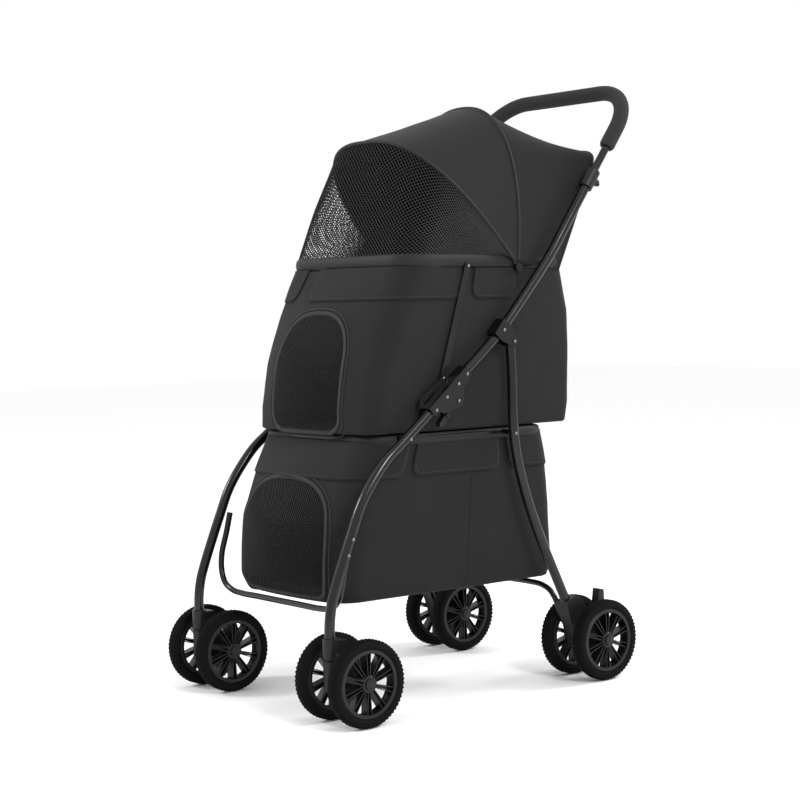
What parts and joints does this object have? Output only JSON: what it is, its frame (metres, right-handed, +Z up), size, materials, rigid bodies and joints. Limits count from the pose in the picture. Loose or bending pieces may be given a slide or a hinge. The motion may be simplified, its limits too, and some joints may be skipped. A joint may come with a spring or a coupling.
{
  "type": "pet stroller",
  "caption": "Folding two-deck pet stroller with a netted bow canopy, sewn baskets, twin-wheel swivel casters and a telescoping push handle.",
  "frame": {"origin": "on the floor, below the centre of the bounding box", "axes": "+Z up, -Y towards the front casters, +Y towards the push handle, +X to the left of a person pushing"},
  "size_m": [0.524, 0.8004, 1.1205],
  "materials": {
    "frame_paint": "gloss black enamel",
    "moulding": "satin black nylon",
    "wheel_rim": "satin black",
    "tyre": "matt black rubber foam",
    "grip": "matt foam",
    "oxford": "woven oxford cloth",
    "mesh": "open net"
  },
  "bodies": {
    "upper_frame": {"push_tube_right": "frame_paint", "push_tube_left": "frame_paint", "hub_channel_right": "frame_paint", "hub_channel_left": "frame_paint", "leg_clamp_right": "frame_paint", "leg_clamp_left": "frame_paint", "collar_right": "moulding", "collar_left": "moulding"},
    "handle": {"handle_tube": "frame_paint", "handle_grip": "grip"},
    "button_right": {"release_button_right": "moulding"},
    "button_left": {"release_button_left": "moulding"},
    "front_frame": {"front_leg_right": "frame_paint", "front_leg_left": "frame_paint", "hub_knuckle_right": "frame_paint", "hub_knuckle_left": "frame_paint", "stay_arm_right": "frame_paint", "stay_arm_left": "frame_paint", "caster_socket_right": "moulding", "caster_socket_left": "moulding", "front_brace": "frame_paint"},
    "latch_right": {"fold_latch_right": "moulding"},
    "latch_left": {"fold_latch_left": "moulding"},
    "lower_deck": {"lower_rim": "frame_paint", "lower_basket": "oxford"},
    "rear_frame": {"rear_leg_right": "frame_paint", "rear_leg_left": "frame_paint", "wheel_bracket_right": "moulding", "wheel_bracket_left": "moulding", "rear_brace": "frame_paint"},
    "pedal_right": {"brake_pedal_right": "moulding"},
    "pedal_left": {"brake_pedal_left": "moulding"},
    "upper_deck": {"upper_rim": "frame_paint", "upper_basket": "oxford", "canopy_back": "oxford"},
    "stays": {"basket_stay_right": "frame_paint", "basket_stay_left": "frame_paint"},
    "rear_bow": {"rear_hoop": "frame_paint", "canopy_rear": "oxford"},
    "front_bow": {"front_hoop": "frame_paint", "canopy_front": "oxford", "canopy_mesh": "mesh"},
    "caster_right": {"caster_fork_right": "moulding"},
    "caster_left": {"caster_fork_left": "moulding"},
    "wheel_front_right_outer": {"front_right_outer_tyre": "tyre", "front_right_outer_rim": "wheel_rim"},
    "wheel_front_right_inner": {"front_right_inner_tyre": "tyre", "front_right_inner_rim": "wheel_rim"},
    "wheel_front_left_outer": {"front_left_outer_tyre": "tyre", "front_left_outer_rim": "wheel_rim"},
    "wheel_front_left_inner": {"front_left_inner_tyre": "tyre", "front_left_inner_rim": "wheel_rim"},
    "wheel_rear_right_outer": {"rear_right_outer_tyre": "tyre", "rear_right_outer_rim": "wheel_rim"},
    "wheel_rear_right_inner": {"rear_right_inner_tyre": "tyre", "rear_right_inner_rim": "wheel_rim"},
    "wheel_rear_left_outer": {"rear_left_outer_tyre": "tyre", "rear_left_outer_rim": "wheel_rim"},
    "wheel_rear_left_inner": {"rear_left_inner_tyre": "tyre", "rear_left_inner_rim": "wheel_rim"}
  },
  "joints": [
    {"name": "frame_fold", "type": "hinge", "parent": "upper_frame", "child": "front_frame", "pos_m": [0, -0.08275, 0.53475], "axis": [1, 0, 0], "range_deg": [0, 120]},
    {"name": "rear_leg_fold", "type": "hinge", "parent": "upper_frame", "child": "rear_frame", "pos_m": [0, 0.0508, 0.635], "axis": [1, 0, 0], "range_deg": [0, 84.24]},
    {"name": "lower_deck_fold", "type": "hinge", "parent": "front_frame", "child": "lower_deck", "pos_m": [0, -0.1882, 0.473], "axis": [1, 0, 0], "range_deg": [-81.6, 0], "deforming": ["lower_basket"]},
    {"name": "upper_deck_fold", "type": "hinge", "parent": "upper_frame", "child": "upper_deck", "pos_m": [0, 0.1468, 0.773], "axis": [1, 0, 0], "range_deg": [0, 28.92], "deforming": ["upper_basket", "canopy_back"]},
    {"name": "stay_fold", "type": "hinge", "parent": "upper_deck", "child": "stays", "pos_m": [0, -0.0322, 0.771], "axis": [1, 0, 0], "range_deg": [-41.04, 0]},
    {"name": "rear_bow_fold", "type": "hinge", "parent": "upper_deck", "child": "rear_bow", "pos_m": [0, 0.0868, 0.768], "axis": [1, 0, 0], "range_deg": [-29, 0], "deforming": ["canopy_rear"]},
    {"name": "front_bow_fold", "type": "hinge", "parent": "rear_bow", "child": "front_bow", "pos_m": [0, 0.0868, 0.768], "axis": [1, 0, 0], "range_deg": [-36.25, 0], "deforming": ["canopy_mesh", "canopy_front"]},
    {"name": "handle_slide", "type": "slide", "parent": "upper_frame", "child": "handle", "axis": [0, 0.5934, 0.8049], "range_m": [-0.045, 0.06]},
    {"name": "button_right_press", "type": "slide", "parent": "upper_frame", "child": "button_right", "axis": [0, -0.8049, 0.5934], "range_m": [0, 0.003], "stiffness_N_per_m": 900},
    {"name": "latch_right_turn", "type": "hinge", "parent": "front_frame", "child": "latch_right", "pos_m": [0.203, -0.10363, 0.50977], "axis": [1, 0, 0], "range_deg": [-25, 0], "stiffness_Nm_per_rad": 0.4},
    {"name": "pedal_right_press", "type": "hinge", "parent": "rear_frame", "child": "pedal_right", "pos_m": [0.203, 0.2398, 0.131], "axis": [1, 0, 0], "range_deg": [-6, 0]},
    {"name": "caster_right_swivel", "type": "hinge", "parent": "front_frame", "child": "caster_right", "pos_m": [0.203, -0.3642, 0.075], "axis": [0, 0, 1], "continuous": true},
    {"name": "button_left_press", "type": "slide", "parent": "upper_frame", "child": "button_left", "axis": [0, -0.8049, 0.5934], "range_m": [0, 0.003], "stiffness_N_per_m": 900},
    {"name": "latch_left_turn", "type": "hinge", "parent": "front_frame", "child": "latch_left", "pos_m": [-0.203, -0.10363, 0.50977], "axis": [1, 0, 0], "range_deg": [-25, 0], "stiffness_Nm_per_rad": 0.4},
    {"name": "pedal_left_press", "type": "hinge", "parent": "rear_frame", "child": "pedal_left", "pos_m": [-0.203, 0.2398, 0.131], "axis": [1, 0, 0], "range_deg": [-6, 0]},
    {"name": "caster_left_swivel", "type": "hinge", "parent": "front_frame", "child": "caster_left", "pos_m": [-0.203, -0.3642, 0.075], "axis": [0, 0, 1], "continuous": true},
    {"name": "wheel_front_right_outer_roll", "type": "hinge", "parent": "caster_right", "child": "wheel_front_right_outer", "pos_m": [0.249, -0.3252, 0.075], "axis": [1, 0, 0], "continuous": true},
    {"name": "wheel_front_right_inner_roll", "type": "hinge", "parent": "caster_right", "child": "wheel_front_right_inner", "pos_m": [0.157, -0.3252, 0.075], "axis": [1, 0, 0], "continuous": true},
    {"name": "wheel_front_left_outer_roll", "type": "hinge", "parent": "caster_left", "child": "wheel_front_left_outer", "pos_m": [-0.249, -0.3252, 0.075], "axis": [1, 0, 0], "continuous": true},
    {"name": "wheel_front_left_inner_roll", "type": "hinge", "parent": "caster_left", "child": "wheel_front_left_inner", "pos_m": [-0.157, -0.3252, 0.075], "axis": [1, 0, 0], "continuous": true},
    {"name": "wheel_rear_right_outer_roll", "type": "hinge", "parent": "rear_frame", "child": "wheel_rear_right_outer", "pos_m": [0.245, 0.2378, 0.075], "axis": [1, 0, 0], "continuous": true},
    {"name": "wheel_rear_right_inner_roll", "type": "hinge", "parent": "rear_frame", "child": "wheel_rear_right_inner", "pos_m": [0.161, 0.2378, 0.075], "axis": [1, 0, 0], "continuous": true},
    {"name": "wheel_rear_left_outer_roll", "type": "hinge", "parent": "rear_frame", "child": "wheel_rear_left_outer", "pos_m": [-0.245, 0.2378, 0.075], "axis": [1, 0, 0], "continuous": true},
    {"name": "wheel_rear_left_inner_roll", "type": "hinge", "parent": "rear_frame", "child": "wheel_rear_left_inner", "pos_m": [-0.161, 0.2378, 0.075], "axis": [1, 0, 0], "continuous": true}
  ],
  "couplings": [
    {"joint": "rear_leg_fold", "follows": "frame_fold", "ratio": 0.702},
    {"joint": "lower_deck_fold", "follows": "frame_fold", "ratio": -0.68},
    {"joint": "upper_deck_fold", "follows": "frame_fold", "ratio": 0.241},
    {"joint": "stay_fold", "follows": "frame_fold", "ratio": -0.342},
    {"joint": "front_bow_fold", "follows": "rear_bow_fold", "ratio": 1.25}
  ]
}
